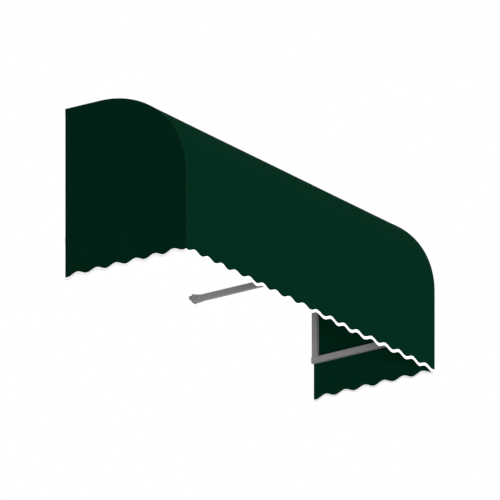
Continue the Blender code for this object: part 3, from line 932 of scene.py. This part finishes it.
def side_welds(name, sign, material):
    """Beads on the inner faces of a side frame, where its three tubes meet."""
    x, clear = sign * (HALF_WIDTH - SKIN - TUBE_WIDE), 0.002
    arm_z = ARM_TOP + HAIR
    rib_z = TOP - SKIN - TUBE_DEEP - HAIR
    for joint, low_y, high_y, z in (
        ("post_arm", POST_LOW.y, POST_HIGH.y, arm_z),
        ("post_rib", POST_LOW.y, POST_HIGH.y, rib_z),
        ("rib_arm", FRONT + SKIN, FRONT + SKIN + TUBE_DEEP, arm_z),
    ):
        start, end = Vector((x, low_y + clear, z)), Vector((x, high_y - clear, z))
        weld_bead(f"weld_{joint}_{name}", start, end, -sign * X, material)


# Pan-head screw
HEAD_RADIUS = 0.0045
HEAD_RISE = 0.0030
HEAD_SEAT = 0.0032  # the screw's outer end to the seat of its head
SLANT_REACH = 0.0054  # middle to outer end, for a screw that follows no axis
SHANK_RADIUS = 0.0021
SHANK_LENGTH = 0.0082
SHANK_START = 0.0002  # how far it runs up into the head


def pan_head():
    """Pan-head screw with a crossed recess, its head out along +Z and its seat at 0."""
    slot = (HEAD_RADIUS * 1.05, 0.0009, 0.0036)
    deselect()
    bpy.ops.mesh.primitive_cylinder_add(
        vertices=24, radius=HEAD_RADIUS, depth=HEAD_RISE, location=(0, 0, HEAD_RISE / 2)
    )
    piece = new_primitive("pan_head")
    softened(piece, HEAD_RISE * 0.62, segments=5, least=60, profile=0.6)
    for vertex in piece.data.vertices:  # the bevel is kept off the seat's edge
        spread = math.hypot(vertex.co.x, vertex.co.y)
        if vertex.co.z < HEAD_RISE * 0.45 and spread > HEAD_RADIUS * 0.55:
            vertex.co.x *= HEAD_RADIUS / spread
            vertex.co.y *= HEAD_RADIUS / spread
    for turn in (0, math.pi / 2):
        bpy.ops.mesh.primitive_cube_add(size=1, location=(0, 0, HEAD_RISE))
        bpy.context.object.scale = slot
        bpy.context.object.rotation_euler = (0, 0, turn)
        cutter = new_primitive("slot")
        cut = piece.modifiers.new("recess", "BOOLEAN")
        cut.operation = "DIFFERENCE"
        cut.object = cutter
        apply_all(piece)
        bpy.data.objects.remove(cutter)
    return as_arrays(piece)


def screw_shank():
    deselect()
    middle = (0, 0, SHANK_START - SHANK_LENGTH / 2)
    bpy.ops.mesh.primitive_cylinder_add(
        vertices=14, radius=SHANK_RADIUS, depth=SHANK_LENGTH, location=middle
    )
    return as_arrays(new_primitive("shank"))


def fine_head(node, outward, material):
    """Replaces a plain screw by one with a domed and crossed head."""
    low, high = corners(node)
    on_axis = max(abs(c) for c in outward) > 0.99
    reach = abs((high - low).dot(outward)) / 2 if on_axis else SLANT_REACH
    seat = (low + high) / 2 + outward * (reach - HEAD_SEAT)
    along = outward.orthogonal().normalized()
    meshes = [placed(shape, seat, along, outward) for shape in (PAN_HEAD, SHANK)]
    piece = smooth(merged(f"{node}_fine", meshes), 40)
    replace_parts(piece, node)
    return rides(piece, material)


def fine_cap(node, outward, material):
    """Replaces a plain end cap by one with softened edges and a plug that goes into the tube."""
    flange, plug_inset, plug_length, edge = 0.0036, 0.0021, 0.010, 0.0013
    low, high = corners(node)
    middle = (low + high) / 2
    face = high.y if outward.y > 0 else low.y
    deselect()
    place = (middle.x, face - outward.y * flange / 2, middle.z)
    bpy.ops.mesh.primitive_cube_add(size=1, location=place)
    bpy.context.object.scale = (TUBE_WIDE, flange, TUBE_DEEP)
    piece = new_primitive(f"{node}_fine")
    bpy.ops.object.mode_set(mode="EDIT")
    work = bmesh.from_edit_mesh(piece.data)
    inner = [f for f in work.faces if f.normal.y * outward.y < -0.9]
    bmesh.ops.inset_region(work, faces=inner, thickness=plug_inset)
    plug = bmesh.ops.extrude_discrete_faces(work, faces=inner)["faces"]
    moved = list({v for f in plug for v in f.verts})
    bmesh.ops.translate(work, verts=moved, vec=-outward * plug_length)
    bmesh.update_edit_mesh(piece.data)
    bpy.ops.object.mode_set(mode="OBJECT")
    smooth(softened(piece, edge, segments=3), 40)
    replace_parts(piece, node)
    return rides(piece, material)


def plain_node(name, material):
    """Gives a node that keeps its shape its finished material."""
    finishes = NODES[name].data.materials
    finishes.clear()
    finishes.append(material)


def wafer_head():
    """Low flat screw head, out along +Z with its seat at 0."""
    radius, thick, edge = 0.0050, 0.0012, 0.0005
    deselect()
    bpy.ops.mesh.primitive_cylinder_add(
        vertices=20, radius=radius, depth=thick, location=(0, 0, thick / 2)
    )
    return as_arrays(softened(new_primitive("wafer_head"), edge, segments=2))


def cloth_fixings(material):
    """Flat-headed screws that hold the turned cloth to the header and the posts."""
    from_end, header_pitch, post_pitch = 0.05, 0.15, 0.14
    header_z, post_x = TOP - 0.019, HALF_WIDTH - SIDE_TURN / 2 - 0.001
    wafer, seat = wafer_head(), TURN_Y + HAIR

    def row(name, spots):
        meshes = [placed(wafer, Vector((x, seat, z)), X, Y) for x, z in spots]
        rides(smooth(merged(name, meshes), 40), material)

    header = spaced(HEADER_LOW.x + from_end, HEADER_HIGH.x - from_end, header_pitch)
    row("header_cloth_screws", [(x, header_z) for x in header])
    post = spaced(POST_LOW.z + from_end, POST_HIGH.z - from_end, post_pitch)
    for name, sign in SIDES:
        row(f"post_cloth_screws_{name}", [(sign * post_x, z) for z in post])


# ---------------------------------------------------------------- stage, light and camera

VIEW_AZIMUTH = math.radians(-55)
VIEW_ELEVATION = math.radians(-20)
VIEW_WIDTH = 3.0915
LOOK_AT = Vector((0, -0.4586, TOP - 0.6236))
CAMERA_AWAY = 4.0
FLOOR_LEVEL = -3.6
FLOOR_SIZE = 40
ROOM_LIGHT = 0.30  # of the white room on the object
ROOM_SEEN = 1.0  # and as the background
LIGHTS = (  # name, direction towards it, strength, softness in degrees
    ("key", (0.10, -0.64, 0.77), 3.4, 18),
    ("low_fill", (-0.68, -0.62, -0.38), 2.4, 25),
    ("back_fill", (0.62, 0.66, 0.42), 1.6, 25),
)


def from_angles(azimuth, elevation):
    """Direction from the object towards an eye at those angles."""
    flat = math.cos(elevation)
    return Vector((math.sin(azimuth) * flat, -math.cos(azimuth) * flat, math.sin(elevation)))


def camera():
    data = bpy.data.cameras.new("camera")
    data.type = "ORTHO"
    data.ortho_scale = VIEW_WIDTH
    data.clip_end = 100
    eye = new_piece("camera", data)
    back = from_angles(VIEW_AZIMUTH, VIEW_ELEVATION)
    eye.location = LOOK_AT + back * CAMERA_AWAY
    eye.rotation_euler = (-back).to_track_quat("-Z", "Y").to_euler()
    bpy.context.scene.camera = eye


def sun(name, direction, strength, softness):
    data = bpy.data.lights.new(name, "SUN")
    data.energy = strength
    data.angle = math.radians(softness)
    lamp = new_piece(name, data)
    lamp.rotation_euler = Vector(direction).normalized().to_track_quat("Z", "Y").to_euler()


def studio():
    """White room light, a key from the front above, and softer fills."""
    world = bpy.data.worlds.new("studio")
    bpy.context.scene.world = world
    world.use_nodes = True
    tree = world.node_tree
    tree.nodes.clear()
    seen = tree.nodes.new("ShaderNodeLightPath")
    choose, out = tree.nodes.new("ShaderNodeMixShader"), tree.nodes.new("ShaderNodeOutputWorld")
    tree.links.new(seen.outputs["Is Camera Ray"], choose.inputs[0])
    for number, strength in enumerate((ROOM_LIGHT, ROOM_SEEN), start=1):
        room = tree.nodes.new("ShaderNodeBackground")
        room.inputs["Color"].default_value = (1, 1, 1, 1)
        room.inputs["Strength"].default_value = strength
        tree.links.new(room.outputs[0], choose.inputs[number])
    tree.links.new(choose.outputs[0], out.inputs["Surface"])
    for light in LIGHTS:
        sun(*light)
    bpy.context.scene.view_settings.view_transform = "Standard"
    bpy.context.scene.view_settings.look = "None"


def floor(material):
    deselect()
    bpy.ops.mesh.primitive_plane_add(size=FLOOR_SIZE, location=(0, 0, FLOOR_LEVEL))
    piece = new_primitive("floor")
    piece.data.materials.append(material)
    piece.visible_shadow = False  # the low fill comes from under its level


# ---------------------------------------------------------------- build

STITCH_SHAPE = one_stitch()
PAN_HEAD = pan_head()
SHANK = screw_shank()

OVER_PURLIN = -math.sin(PURLIN_ANGLE) / BEND_DEPTH, math.cos(PURLIN_ANGLE) / BEND_HEIGHT
SCREW_WAYS = (  # start of the node's name, and the way that its head faces
    ("header_screw", -Z),
    ("header_bracket_screw", -Z),
    ("front_bar_screw", Y),
    ("purlin_screw", -Vector((0, *OVER_PURLIN)).normalized()),
    ("center_rib_screw", -X),
    ("post_bracket_screw_left", X),
    ("post_bracket_screw_right", -X),
)


def way_out(node):
    """Which way a screw's head faces."""
    return next(way for start, way in SCREW_WAYS if node.startswith(start))


def dress_frame(coat, zinc, bare, plastic):
    """Finishes every node of the frame, or replaces it by a finer piece."""
    for node in NODES:
        if "screw" in node:
            fine_head(node, way_out(node), zinc)
        elif "cap_" in node:
            fine_cap(node, Y if "_wall_" in node else -Y, plastic)
        elif "spigot" in node:
            plain_node(node, bare)
        elif node in ("saddle_bolt", "saddle_nut"):
            plain_node(node, zinc)
        elif "_rib" not in node:
            plain_node(node, coat)
    for name, sign in SIDES:
        x = sign * (HALF_WIDTH - SKIN - TUBE_WIDE / 2)
        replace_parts(rib_tube(f"bent_rib_{name}", x, RIB_HIGH.y, coat), f"side_rib_{name}")
        side_welds(name, sign, coat)
    back = corners("center_rib")[1].y
    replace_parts(rib_tube("bent_rib_middle", 0, back, coat), "center_rib")


def sew_cover(faces, tape, green_thread, white_thread):
    main_cloth(faces)
    for name, sign in SIDES:
        end_cloth(name, sign, faces)
    path = hem_tape(tape)
    tape_seams(path, white_thread)
    cover_seams(green_thread)
    panel_seams(green_thread)


camera()
studio()
floor(floor_paint())
ZINC = zinc_plate()
dress_frame(powder_coat(), ZINC, mill_aluminium(), cap_plastic())
OUTSIDE = canvas("green_canvas", shade(0.0004, 0.0204, 0.0094), shade(0.0002, 0.0145, 0.0065))
# The cloth's inner face is a lighter green than its outer face: painted light, standing in for
# light that does not reach inside the cover.
INNER_FACE_PAINTED_LIGHT = canvas(
    "green_canvas_inside_painted_light", shade(0.0006, 0.0260, 0.0119), shade(0.0004, 0.0190, 0.0087)
)
sew_cover(
    (OUTSIDE, INNER_FACE_PAINTED_LIGHT),
    binding_tape(),
    sewing_thread("green_thread", shade(0.0010, 0.040, 0.018), shade(0.0005, 0.022, 0.010)),
    sewing_thread("white_thread", shade(0.90, 0.90, 0.88), shade(0.72, 0.72, 0.70)),
)
cloth_fixings(ZINC)
